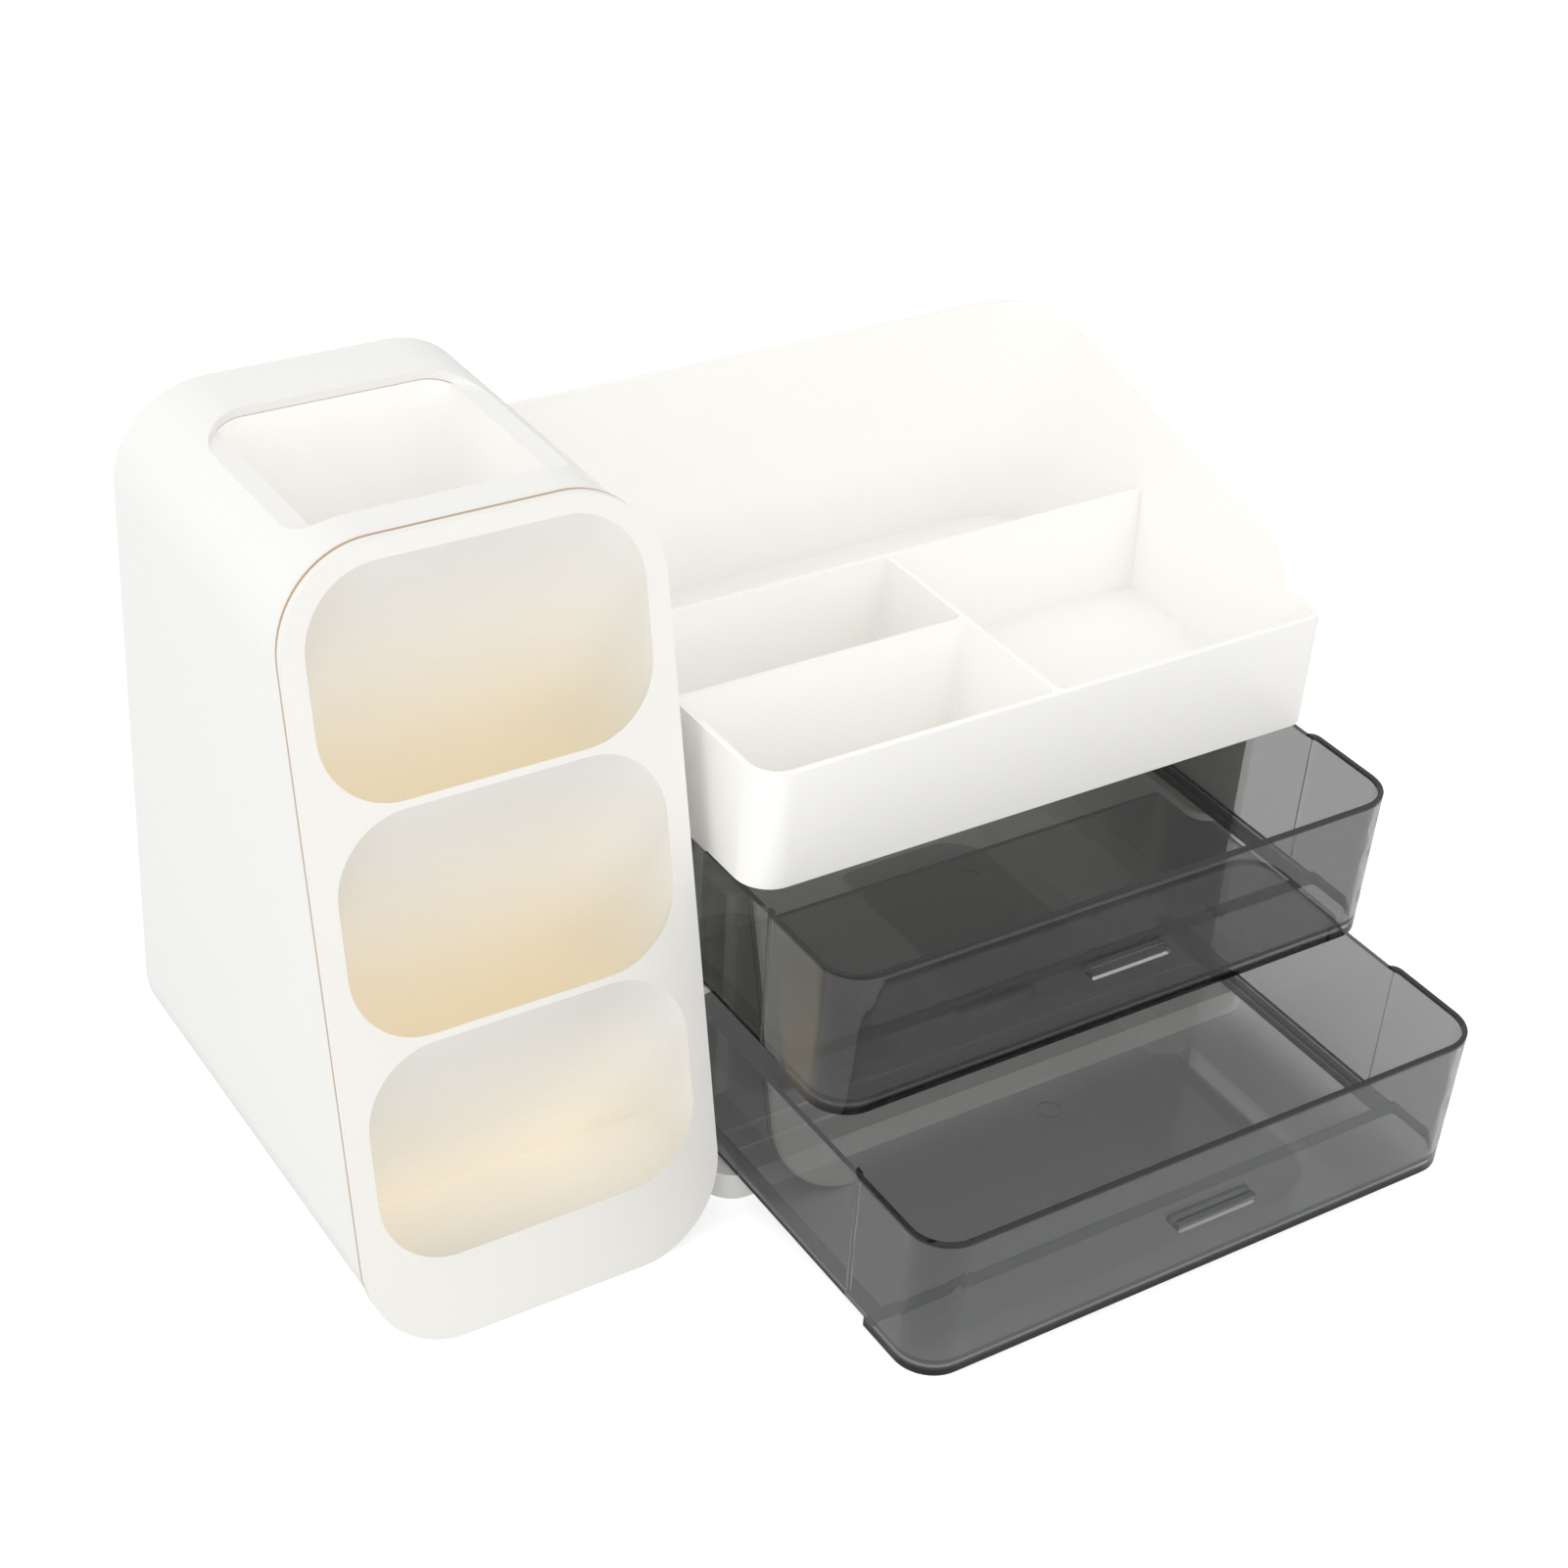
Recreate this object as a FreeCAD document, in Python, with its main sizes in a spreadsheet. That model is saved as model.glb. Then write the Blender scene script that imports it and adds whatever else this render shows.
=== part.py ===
import FreeCAD, Part

import math
import os

import Sketcher

Vector = FreeCAD.Vector
Rotation = FreeCAD.Rotation
Placement = FreeCAD.Placement

# Makeup organizer: a tall tower with three sloping pockets and a brush cup, hooked beside a low cabinet
# that holds two drawers under a divided tray. Lengths are millimetres and angles are degrees.
# Origin: the middle of the cabinet base's underside, on the table. X runs from the tower to the cabinet,
# Y runs from the drawer fronts to the back, Z is up.

SIZES = {
    # overall fits
    "seat_gap": 0.3,
    "side_gap": 0.4,
    # cabinet
    "cab_width": 186.0,
    "cab_depth": 134.2,
    "wall_thick": 3.0,
    "wall_setback": 18.4,
    "wall_height": 93.9,
    "rail_width": 10.0,
    "rail_thick": 2.4,
    "rail_round": 7.0,
    "ledge_thick": 1.0,
    # base plate
    "base_height": 8.2,
    "base_inset": 0.4,
    "base_skin": 2.4,
    "base_skirt": 2.0,
    "base_front_round": 9.0,
    "base_back_round": 3.0,
    "base_hole_width": 55.5,
    "base_bar_width": 24.0,
    "base_strip": 23.0,
    "base_hole_round": 14.0,
    "base_groove": 3.0,
    "base_groove_depth": 0.8,
    # tray
    "tray_width": 180.4,
    "tray_reach": 2.2,
    "tray_rim": 33.9,
    "tray_back": 72.5,
    "tray_wall": 1.8,
    "tray_floor": 2.0,
    "tray_slope": 13.9,
    "tray_step_round": 13.0,
    "tray_right_step": 16.5,
    "tray_left_step": 79.6,
    "tray_corner_near": 20.0,
    "tray_corner_front": 6.0,
    "tray_corner_back": 23.0,
    "tray_cell_round": 2.0,
    "divider": 1.6,
    "long_divider": 79.6,
    "short_divider": 42.2,
    "cross_divider": 90.2,
    # drawers
    "drawer_step_in": 0.7,
    "drawer_height": 43.3,
    "drawer_wall": 1.5,
    "drawer_floor": 1.5,
    "drawer_skirt": 3.0,
    "drawer_front_length": 36.0,
    "drawer_front_drop": 25.0,
    "drawer_step_down": 1.1,
    "drawer_front_corner": 11.5,
    "drawer_back_corner": 5.0,
    "drawer_draft": 0.8,
    "drawer_step_round": 3.0,
    "drawer_rib": 1.2,
    "drawer_rib_pitch": 3.2,
    "drawer_rib_inset": 1.2,
    "upper_lift": 48.9,
    "upper_pull": 39.0,
    "lower_pull": 85.0,
    "handle_length": 26.0,
    "handle_height": 2.4,
    "handle_depth": 2.2,
    "handle_level": 20.5,
    "gate_mark": 6.5,
    "gate_depth": 0.3,
    # tower sleeve
    "tower_width": 99.2,
    "tower_height": 200.0,
    "tower_depth": 141.5,
    "tower_corner": 25.0,
    "tower_lean": 14.23,
    "sleeve_wall": 2.4,
    "window_width": 74.0,
    "window_depth": 59.0,
    "window_back": 20.0,
    "window_front_round": 7.0,
    "window_back_round": 14.0,
    # tower insert
    "plate_thick": 2.9,
    "plate_proud": 0.6,
    "plug_depth": 8.0,
    "pocket_width": 88.5,
    "pocket_height": 58.4,
    "pocket_web": 2.0,
    "pocket_corner": 20.0,
    "pocket_first": 23.0,
    "pocket_slope": 69.0,
    "pocket_wall": 1.5,
    "pocket_floor": 1.6,
    "top_floor": 78.0,
    "middle_floor": 19.0,
    "bottom_floor": 4.4,
    # brush cup
    "cup_wall": 1.5,
    "cup_depth": 96.0,
    # hooks between tower and cabinet
    "hook_gap": 4.5,
    "hook_stem": 3.0,
    "hook_head": 10.8,
    "hook_head_thick": 1.5,
    "hook_lip": 1.4,
    "wall_clear": 0.7,
    "hook_bottom": 20.0,
    "hook_length": 64.0,
    "hook_margin": 34.0,
}

doc = FreeCAD.newDocument("makeup_organizer")


class SizeSheet:
    """The spreadsheet: named driving sizes first, then cells that work out positions from them."""

    def __init__(self, sizes):
        self.sheet = doc.addObject("Spreadsheet::Sheet", "Sizes")
        self.row = 0
        self.known = {}
        for name, number in sizes.items():
            self.add(name, str(number))
        self.sheet.recompute()

    def add(self, name, content):
        self.row += 1
        self.sheet.set(f"A{self.row}", name)
        self.sheet.set(f"B{self.row}", content)
        self.sheet.setAlias(f"B{self.row}", name)

    def define(self, name, formula):
        """Adds a named size worked out from others."""
        self.add(name, "=" + formula)
        self.sheet.recompute()

    def cell(self, formula):
        """Returns the alias of the cell that holds the formula, and its value."""
        formula = str(formula)
        if formula not in self.known:
            if formula in self.sheet.PropertiesList:
                self.known[formula] = formula
            else:
                alias = f"place_{self.row:03d}"
                self.add(alias, "=" + formula)
                self.sheet.recompute()
                self.known[formula] = alias
        alias = self.known[formula]
        return alias, float(getattr(self.sheet, alias))

    def value(self, formula):
        return self.cell(formula)[1]

    def bind(self, thing, path, formula):
        """Ties a property or a sketch constraint to the formula's cell."""
        alias, _ = self.cell(formula)
        thing.setExpression(path, f"Sizes.{alias}")


def settle(*items):
    """Recomputes the items alone and stops at the first that fails."""
    for item in items:
        item.recompute()
        if "Invalid" in item.State or "Error" in item.State:
            raise RuntimeError(f"{item.Name} failed: {item.State}")


sizes = SizeSheet(SIZES)

for name, formula in {
    "cab_half": "cab_width / 2",
    "cab_front": "-cab_depth / 2",
    "cab_back": "cab_depth / 2",
    "wall_front": "cab_front + wall_setback",
    "wall_inner": "cab_half - wall_thick",
    "tray_half": "tray_width / 2",
    "tray_bottom": "base_height + wall_height",
    "tray_front": "cab_front - tray_reach",
    "lower_level": "base_height + seat_gap",
    "upper_level": "lower_level + upper_lift",
    "rail_top": "upper_level - seat_gap",
    "drawer_half": "wall_inner - side_gap",
    "drawer_depth": "cab_depth + tray_reach - wall_thick - side_gap",
    "tower_half": "tower_width / 2",
    "tower_x": "-(cab_half + hook_gap + tower_half)",
    "tower_y": "cab_back - tower_depth",
    "lean_tan": "tan(tower_lean * 1 deg)",
    "lean_cos": "cos(tower_lean * 1 deg)",
    "slope_tan": "tan(pocket_slope * 1 deg)",
    "slope_sin": "sin(pocket_slope * 1 deg)",
    "slope_cos": "cos(pocket_slope * 1 deg)",
    "window_y_back": "tower_depth - window_back",
    "window_y_front": "window_y_back - window_depth",
    "pocket_pitch": "pocket_height + pocket_web",
    "pocket_last": "pocket_first + 2 * pocket_pitch + pocket_height",
    "pocket_margin": "pocket_wall / sin((90 - tower_lean + pocket_slope) * 1 deg)",
    "floor_room": "drawer_skirt + drawer_floor",
    "tray_top": "tray_bottom + tray_rim",
}.items():
    sizes.define(name, formula)


class Piece:
    """One sub-part: a body, its sketches on the origin planes and the features made from them."""

    def __init__(self, label):
        self.body = doc.addObject("PartDesign::Body", label)
        self.body.Label = label
        self.label = label

    def place(self, x, y, z):
        for axis, formula in zip("xyz", (x, y, z)):
            sizes.bind(self.body, f"Placement.Base.{axis}", formula)

    def plane(self, role):
        return next(f for f in self.body.Origin.OriginFeatures if f.Role == role)

    def sketch(self, role, lift=None, tilt=None):
        """A sketch on an origin plane, lifted along the plane's normal or leant back about X."""
        sketch = self.body.newObject("Sketcher::SketchObject", self.label + "_sketch")
        sketch.AttachmentSupport = [(self.plane(role), "")]
        sketch.MapMode = "FlatFace"
        if tilt is not None:
            sketch.AttachmentOffset = Placement(Vector(), Rotation(Vector(-1, 0, 0), sizes.value(tilt)))
            sizes.bind(sketch, "AttachmentOffset.Rotation.Angle", tilt)
        if lift is not None:
            sizes.bind(sketch, "AttachmentOffset.Base.z", lift)
        return sketch

    def level(self, height):
        """A level datum plane."""
        plane = self.body.newObject("PartDesign::Plane", self.label + "_level")
        plane.AttachmentSupport = [(self.plane("XY_Plane"), "")]
        plane.MapMode = "FlatFace"
        sizes.bind(plane, "AttachmentOffset.Base.z", height)
        settle(plane)
        return plane

    def feature(self, kind, sketch=None, **settings):
        item = self.body.newObject("PartDesign::" + kind, self.label + "_" + kind.lower())
        if sketch is not None:
            item.Profile = sketch
        for key, setting in settings.items():
            setattr(item, key, setting)
        return item

    def pad(self, sketch, length, taper=None, along=None, **settings):
        return self.extrude("Pad", sketch, length, taper, along, settings)

    def pocket(self, sketch, length, taper=None, along=None, **settings):
        before = self.volume()
        item = self.extrude("Pocket", sketch, length, taper, along, settings)
        if not item.Shape.Volume < before:
            raise RuntimeError(f"{self.label}: {item.Name} cuts nothing")
        return item

    def extrude(self, kind, sketch, length, taper, along, settings):
        item = self.feature(kind, sketch, **settings)
        if length is not None:
            sizes.bind(item, "Length", length)
        if taper is not None:
            sizes.bind(item, "TaperAngle", taper)
        if along is not None:
            item.UseCustomVector = True
            item.Direction = Vector(*(sizes.value(part) for part in along))
            for axis, part in zip("xyz", along):
                sizes.bind(item, f"Direction.{axis}", part)
            item.AlongSketchNormal = False
        settle(sketch, item)
        return item

    def volume(self):
        return self.body.Tip.Shape.Volume

    def edges(self, test):
        """Names of the tip's edges that pass the test, which is given the edge."""
        shape = self.body.Tip.Shape
        return [f"Edge{n + 1}" for n, edge in enumerate(shape.Edges) if test(edge)]

    def faces(self, test):
        shape = self.body.Tip.Shape
        return [f"Face{n + 1}" for n, face in enumerate(shape.Faces) if test(face)]

    def fillet(self, radius, test):
        base = self.body.Tip
        names = self.edges(test)
        if not names:
            raise RuntimeError(f"{self.label}: no edge to round by {radius}")
        item = self.feature("Fillet", Base=(base, names))
        sizes.bind(item, "Radius", radius)
        settle(item)
        return item

    def shell(self, thickness, test):
        base = self.body.Tip
        item = self.feature("Thickness", Base=(base, self.faces(test)))
        item.Reversed = True
        item.Join = "Intersection"
        sizes.bind(item, "Value", thickness)
        settle(item)
        return item


def fix_point(sketch, geometry, position, x, y):
    """Holds one sketch point at two formulas."""
    for kind, formula in (("DistanceX", x), ("DistanceY", y)):
        number = sketch.addConstraint(
            Sketcher.Constraint(kind, -1, 1, geometry, position, sizes.value(formula))
        )
        sizes.bind(sketch, f"Constraints[{number}]", formula)


def polygon(sketch, points):
    """Adds a closed polygon whose corners are pairs of formulas."""
    spots = [Vector(sizes.value(x), sizes.value(y), 0) for x, y in points]
    count = len(spots)
    first = sketch.GeometryCount
    for n in range(count):
        sketch.addGeometry(Part.LineSegment(spots[n], spots[(n + 1) % count]))
    for n in range(count):
        sketch.addConstraint(Sketcher.Constraint("Coincident", first + n, 2, first + (n + 1) % count, 1))
    for n, (x, y) in enumerate(points):
        fix_point(sketch, first + n, 1, x, y)


def rounded(sketch, left, right, low, high, radii):
    """Adds a rectangle with rounded corners: radii run low left, low right, high right, high left."""
    if isinstance(radii, str):
        radii = [radii] * 4
    corners = [
        (left, low, "+", "+"),
        (right, low, "-", "+"),
        (right, high, "-", "-"),
        (left, high, "+", "-"),
    ]
    centres = [
        (f"({x}) {sx} ({r})", f"({y}) {sy} ({r})")
        for (x, y, sx, sy), r in zip(corners, radii)
    ]
    spots = [Vector(sizes.value(x), sizes.value(y), 0) for x, y in centres]
    r = [sizes.value(radius) for radius in radii]
    first = sketch.GeometryCount
    quarter = math.pi / 2
    for n in range(4):
        start = math.pi + n * quarter
        circle = Part.Circle(spots[n], Vector(0, 0, 1), r[n])
        sketch.addGeometry(Part.ArcOfCircle(circle, start, start + quarter))
    for n in range(4):
        end = sketch.getPoint(first + n, 2)
        begin = sketch.getPoint(first + (n + 1) % 4, 1)
        sketch.addGeometry(Part.LineSegment(end, begin))
    for n in range(4):
        line = first + 4 + n
        sketch.addConstraint(Sketcher.Constraint("Tangent", first + n, 2, line, 1))
        sketch.addConstraint(Sketcher.Constraint("Tangent", line, 2, first + (n + 1) % 4, 1))
    for n in range(4):
        fix_point(sketch, first + n, 3, *centres[n])
        number = sketch.addConstraint(Sketcher.Constraint("Radius", first + n, r[n]))
        sizes.bind(sketch, f"Constraints[{number}]", radii[n])


def disc(sketch, x, y, radius):
    number = sketch.addGeometry(Part.Circle(Vector(sizes.value(x), sizes.value(y), 0), Vector(0, 0, 1), 1))
    fix_point(sketch, number, 3, x, y)
    constraint = sketch.addConstraint(Sketcher.Constraint("Radius", number, sizes.value(radius)))
    sizes.bind(sketch, f"Constraints[{constraint}]", radius)


def near(a, b, slack=0.01):
    return abs(a - b) < slack


def is_upright_at(edge, y, x=None):
    """True for a vertical edge at y, and at x where one is given."""
    box = edge.BoundBox
    return is_along(edge, "z") and near(box.YMin, y) and (x is None or near(box.XMin, x))


def is_knee(edge, y, z):
    """True for an edge along X that passes y and z."""
    box = edge.BoundBox
    return is_along(edge, "x") and near(box.YMin, y) and near(box.ZMin, z)


def is_along(edge, axis):
    """True for an edge that runs along one axis only."""
    box = edge.BoundBox
    spans = {"x": box.XLength, "y": box.YLength, "z": box.ZLength}
    return spans[axis] > 0.05 and all(span < 0.01 for name, span in spans.items() if name != axis)


ALL_WAY = {"Type": "ThroughAll", "SideType": "Symmetric"}
BOTH_SIDES = {"SideType": "Symmetric"}
FORWARD = ("0", "1", "0")
DOWN_SLOPE = ("0", "slope_cos", "-slope_sin")


def tower_sleeve():
    """The tower's outer shell: rounded in front view, open along its leaning front, windowed on top."""
    piece = Piece("tower_sleeve")
    piece.place("tower_x", "tower_y", "0")
    outline = piece.sketch("XZ_Plane")
    rounded(outline, "-tower_half", "tower_half", "0", "tower_height", "tower_corner")
    piece.pad(outline, "tower_depth", Reversed=True)
    front = piece.sketch("YZ_Plane")
    polygon(front, [
        ("-lean_tan", "-1"),
        ("lean_tan * (tower_height + 1)", "tower_height + 1"),
        ("-10", "tower_height + 1"),
        ("-10", "-1"),
    ])
    piece.pocket(front, "tower_width", **ALL_WAY)
    piece.shell("sleeve_wall", lambda face: face.normalAt(0, 0).y < -0.9)
    window = piece.sketch("XY_Plane", lift="tower_height + 1")
    rounded(
        window, "-window_width / 2", "window_width / 2", "window_y_front", "window_y_back",
        ["window_front_round", "window_front_round", "window_back_round", "window_back_round"],
    )
    piece.pocket(window, "sleeve_wall + 2")
    # two C-shaped channels on the side that faces the cabinet, closed on top, open below
    half = "(hook_head / 2 + side_gap)"
    deep = "(hook_gap - wall_clear - hook_lip)"
    for middle in ("hook_margin", "tower_depth - hook_margin"):
        channel = piece.sketch("XY_Plane", lift="hook_bottom")
        polygon(channel, [
            ("tower_half - sleeve_wall / 2", f"{middle} - {half} - hook_lip"),
            (f"tower_half + {deep} + hook_lip", f"{middle} - {half} - hook_lip"),
            (f"tower_half + {deep} + hook_lip", f"{middle} - hook_stem / 2 - side_gap"),
            (f"tower_half + {deep}", f"{middle} - hook_stem / 2 - side_gap"),
            (f"tower_half + {deep}", f"{middle} - {half}"),
            ("tower_half", f"{middle} - {half}"),
            ("tower_half", f"{middle} + {half}"),
            (f"tower_half + {deep}", f"{middle} + {half}"),
            (f"tower_half + {deep}", f"{middle} + hook_stem / 2 + side_gap"),
            (f"tower_half + {deep} + hook_lip", f"{middle} + hook_stem / 2 + side_gap"),
            (f"tower_half + {deep} + hook_lip", f"{middle} + {half} + hook_lip"),
            ("tower_half - sleeve_wall / 2", f"{middle} + {half} + hook_lip"),
        ])
        piece.pad(channel, "hook_length + seat_gap")
        cap = piece.sketch("XY_Plane", lift="hook_bottom + hook_length + seat_gap")
        polygon(cap, [
            ("tower_half - sleeve_wall / 2", f"{middle} - {half} - hook_lip"),
            (f"tower_half + {deep} + hook_lip", f"{middle} - {half} - hook_lip"),
            (f"tower_half + {deep} + hook_lip", f"{middle} + {half} + hook_lip"),
            ("tower_half - sleeve_wall / 2", f"{middle} + {half} + hook_lip"),
        ])
        piece.pad(cap, "hook_lip")
    return piece


def front_point(s):
    """Formulas for y and z of the point on the front plate's face at the distance s up its slope."""
    return f"(({s}) * sin(tower_lean * 1 deg) - plate_thick)", f"(({s}) * lean_cos)"


def slope_y(s, z):
    """Where the pocket line that starts at s on the front face passes the height z."""
    y0, z0 = front_point(s)
    return f"({y0} + ({z0} - ({z})) / slope_tan)"


def keep_inside(piece, gap):
    """Cuts away what lies outside the sleeve's inner outline less the gap."""
    trim = piece.sketch("XZ_Plane")
    room = f"(sleeve_wall + {gap})"
    rounded(
        trim, f"-tower_half + {room}", f"tower_half - {room}", room, f"tower_height - {room}",
        f"tower_corner - {room}",
    )
    far = "3 * tower_height"
    polygon(trim, [(f"-{far}", f"-{far}"), (far, f"-{far}"), (far, far), (f"-{far}", far)])
    piece.pocket(trim, None, **ALL_WAY)


def tower_insert():
    """Front plate with three pockets behind it that slope down and back inside the sleeve."""
    piece = Piece("tower_insert")
    piece.place("tower_x", "tower_y", "0")
    block = piece.sketch("XZ_Plane", lift="plate_thick", tilt="tower_lean")
    half = "(pocket_width / 2 + pocket_wall)"
    rounded(
        block, f"-{half}", half, "pocket_first - pocket_margin", "pocket_last + pocket_margin",
        "pocket_corner + pocket_wall",
    )
    piece.pad(block, "tower_height * 1.2", along=DOWN_SLOPE)
    # below the floors the block is cut away in steps that follow the lower pockets' rear walls
    low = "pocket_first - pocket_margin"
    steps = [
        ("bottom_floor - pocket_floor", low, "pocket_first + pocket_pitch"),
        ("middle_floor - pocket_floor", "pocket_first + pocket_pitch", "pocket_first + 2 * pocket_pitch"),
    ]
    corners = []
    for z, s_front, s_back in steps:
        corners.append((slope_y(s_front, z), z))
        corners.append((slope_y(s_back, z), z))
    z = "top_floor - pocket_floor"
    corners.append((slope_y("pocket_first + 2 * pocket_pitch", z), z))
    far = "3 * tower_height"
    corners += [(far, z), (far, f"-{far}"), (slope_y(low, "bottom_floor - pocket_floor"), f"-{far}")]
    under = piece.sketch("YZ_Plane")
    polygon(under, corners)
    piece.pocket(under, None, **ALL_WAY)
    keep_inside(piece, "side_gap")
    plate = piece.sketch("XZ_Plane", tilt="tower_lean")
    half = "(tower_half + plate_proud)"
    rounded(
        plate, f"-{half}", half, "0", "(tower_height + plate_proud) / lean_cos", "tower_corner + plate_proud"
    )
    piece.pad(plate, "plate_thick", along=("0", "-1", "0"))
    plug = piece.sketch("XZ_Plane", tilt="tower_lean")
    room = "(sleeve_wall + side_gap)"
    rounded(
        plug, f"-tower_half + {room}", f"tower_half - {room}",
        f"{room} / lean_cos", f"(tower_height - {room}) / lean_cos", "tower_corner - sleeve_wall",
    )
    piece.pad(plug, "plug_depth", along=FORWARD)
    for number, floor in enumerate(("bottom_floor", "middle_floor", "top_floor")):
        start = f"(pocket_first + {number} * pocket_pitch)"
        mouth = piece.sketch("XZ_Plane", lift="plate_thick", tilt="tower_lean")
        rounded(
            mouth, "-pocket_width / 2", "pocket_width / 2", start, f"{start} + pocket_height", "pocket_corner"
        )
        piece.pocket(mouth, None, along=DOWN_SLOPE, Type="UpToFace", UpToFace=(piece.level(floor), [""]))
        if number == 0:
            fill_low_corners(piece)
    return piece


def fill_low_corners(piece):
    """Rounds the lowest pocket's floor up into its side walls, as the sleeve's corners need."""
    radius = sizes.value("pocket_corner")
    thick = sizes.value("pocket_wall")
    fill = piece.sketch("XZ_Plane", lift="-plug_depth / 2")
    for side in (1, -1):
        sign = "" if side > 0 else "-"
        middle = f"{sign}(pocket_width / 2 - pocket_corner)", "bottom_floor + pocket_corner"
        centre = Vector(sizes.value(middle[0]), sizes.value(middle[1]), 0)
        start, end = (-math.pi / 2, 0) if side > 0 else (math.pi, 1.5 * math.pi)
        first = fill.GeometryCount
        for r in (radius, radius + thick):
            fill.addGeometry(Part.ArcOfCircle(Part.Circle(centre, Vector(0, 0, 1), r), start, end))
        for tip in (1, 2):
            fill.addGeometry(Part.LineSegment(fill.getPoint(first, tip), fill.getPoint(first + 1, tip)))
        for tip in (1, 2):
            fill.addConstraint(Sketcher.Constraint("Coincident", first, tip, first + 1 + tip, 1))
            fill.addConstraint(Sketcher.Constraint("Coincident", first + 1, tip, first + 1 + tip, 2))
        upright, level = (first + 2, first + 3) if side > 0 else (first + 3, first + 2)
        fill.addConstraint(Sketcher.Constraint("Horizontal", level))
        fill.addConstraint(Sketcher.Constraint("Vertical", upright))
        fix_point(fill, first, 3, *middle)
        fix_point(fill, first + 1, 3, *middle)
        for n, formula in ((first, "pocket_corner"), (first + 1, "pocket_corner + pocket_wall")):
            number = fill.addConstraint(Sketcher.Constraint("Radius", n, sizes.value(formula)))
            sizes.bind(fill, f"Constraints[{number}]", formula)
    slope = Vector(0, -sizes.value("slope_sin"), -sizes.value("slope_cos"))
    top = sizes.value("(pocket_first + pocket_height) * lean_cos + 1")
    rear = piece.faces(
        lambda face: face.normalAt(0, 0).getAngle(slope) < 0.01 and face.BoundBox.ZMax < top
    )
    item = piece.feature("Pad", fill, Type="UpToFace", UpToFace=(piece.body.Tip, rear[:1]), Reversed=True)
    settle(fill, item)


def brush_cup():
    """Deep cup under the sleeve's top window; its front wall follows the top pocket's slope."""
    piece = Piece("brush_cup")
    piece.place("tower_x", "tower_y", "0")
    top = "tower_height"
    bottom = "(tower_height - sleeve_wall - cup_depth)"
    front = "(window_y_front - cup_wall)"
    back = "(window_y_back + cup_wall)"
    s_wall = "pocket_last + pocket_margin"
    y0, z0 = front_point(s_wall)
    clear = "(seat_gap / slope_sin)"
    inside = "((seat_gap + cup_wall) / slope_sin)"

    def slope_z(y, gap):
        return f"({z0} - ({y} - {y0} - {gap}) * slope_tan)"

    # sloping front wall and floor in one bent sheet
    sheet = piece.sketch("YZ_Plane")
    polygon(sheet, [
        (front, slope_z(front, clear)),
        (f"{slope_y(s_wall, bottom)} + {clear}", bottom),
        (back, bottom),
        (back, f"{bottom} + cup_wall"),
        (f"{slope_y(s_wall, f'{bottom} + cup_wall')} + {inside}", f"{bottom} + cup_wall"),
        (front, slope_z(front, inside)),
    ])
    piece.pad(sheet, "window_width + 2 * cup_wall", **BOTH_SIDES)
    rear = sizes.value(back)
    piece.fillet("window_back_round + cup_wall", lambda edge: is_upright_at(edge, rear))
    radii = ["window_front_round", "window_front_round", "window_back_round", "window_back_round"]
    walls = piece.sketch("XY_Plane", lift=bottom)
    rounded(
        walls, "-window_width / 2 - cup_wall", "window_width / 2 + cup_wall", front, back,
        [f"{r} + cup_wall" for r in radii],
    )
    rounded(walls, "-window_width / 2", "window_width / 2", "window_y_front", "window_y_back", radii)
    piece.pad(walls, "cup_depth + sleeve_wall")
    below = piece.sketch("YZ_Plane")
    polygon(below, [
        (f"{front} - 1", slope_z(f"{front} - 1", clear)),
        (f"{slope_y(s_wall, f'{bottom} - 1')} + {clear}", f"{bottom} - 1"),
        (f"{front} - 1", f"{bottom} - 1"),
    ])
    piece.pocket(below, None, **ALL_WAY)
    keep_inside(piece, "seat_gap")
    return piece


def base_plate():
    """Low plate, hollow below, with two large openings and two grooves along its front strip."""
    piece = Piece("base_plate")
    half = "(cab_half - base_inset)"
    rounds = ["base_front_round", "base_front_round", "base_back_round", "base_back_round"]
    outline = piece.sketch("XY_Plane")
    rounded(outline, f"-{half}", half, "cab_front", "cab_back", rounds)
    piece.pad(outline, "base_height")
    inner = "(base_bar_width / 2)"
    outer = f"({inner} + base_hole_width)"
    low = "(cab_front + base_strip)"
    high = "(cab_back - base_strip)"
    holes = piece.sketch("XY_Plane")
    for left, right in ((inner, outer), (f"-{outer}", f"-{inner}")):
        rounded(holes, left, right, low, high, "base_hole_round")
    piece.pocket(holes, None, Type="ThroughAll", SideType="Symmetric")
    # hollow underside: a skirt round the edge, a collar round each opening and a rib in the middle
    skirt = "base_skirt"
    hollow = piece.sketch("XY_Plane")
    for side in (1, -1):
        edge = f"{skirt}" if side > 0 else f"-{half} + {skirt}"
        far = f"{half} - {skirt}" if side > 0 else f"-{skirt}"
        corner = "base_back_round"
        front_corner = f"base_front_round - {skirt}"
        radii = [corner] * 4
        radii[1 if side > 0 else 0] = front_corner
        rounded(hollow, edge, far, f"cab_front + {skirt}", f"cab_back - {skirt}", radii)
        left, right = (inner, outer) if side > 0 else (f"-{outer}", f"-{inner}")
        rounded(
            hollow, f"{left} - {skirt}", f"{right} + {skirt}", f"{low} - {skirt}", f"{high} + {skirt}",
            f"base_hole_round + {skirt}",
        )
    piece.pocket(hollow, "base_height - base_skin", Reversed=True)
    grooves = piece.sketch("XY_Plane", lift="base_height")
    for number in (1, 2):
        middle = f"(cab_front + base_strip * {number} / 3)"
        rounded(
            grooves, f"-{half} + base_strip / 2", f"{half} - base_strip / 2",
            f"{middle} - base_groove / 2", f"{middle} + base_groove / 2", "base_groove / 2.01",
        )
    piece.pocket(grooves, "base_groove_depth")
    return piece


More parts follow.
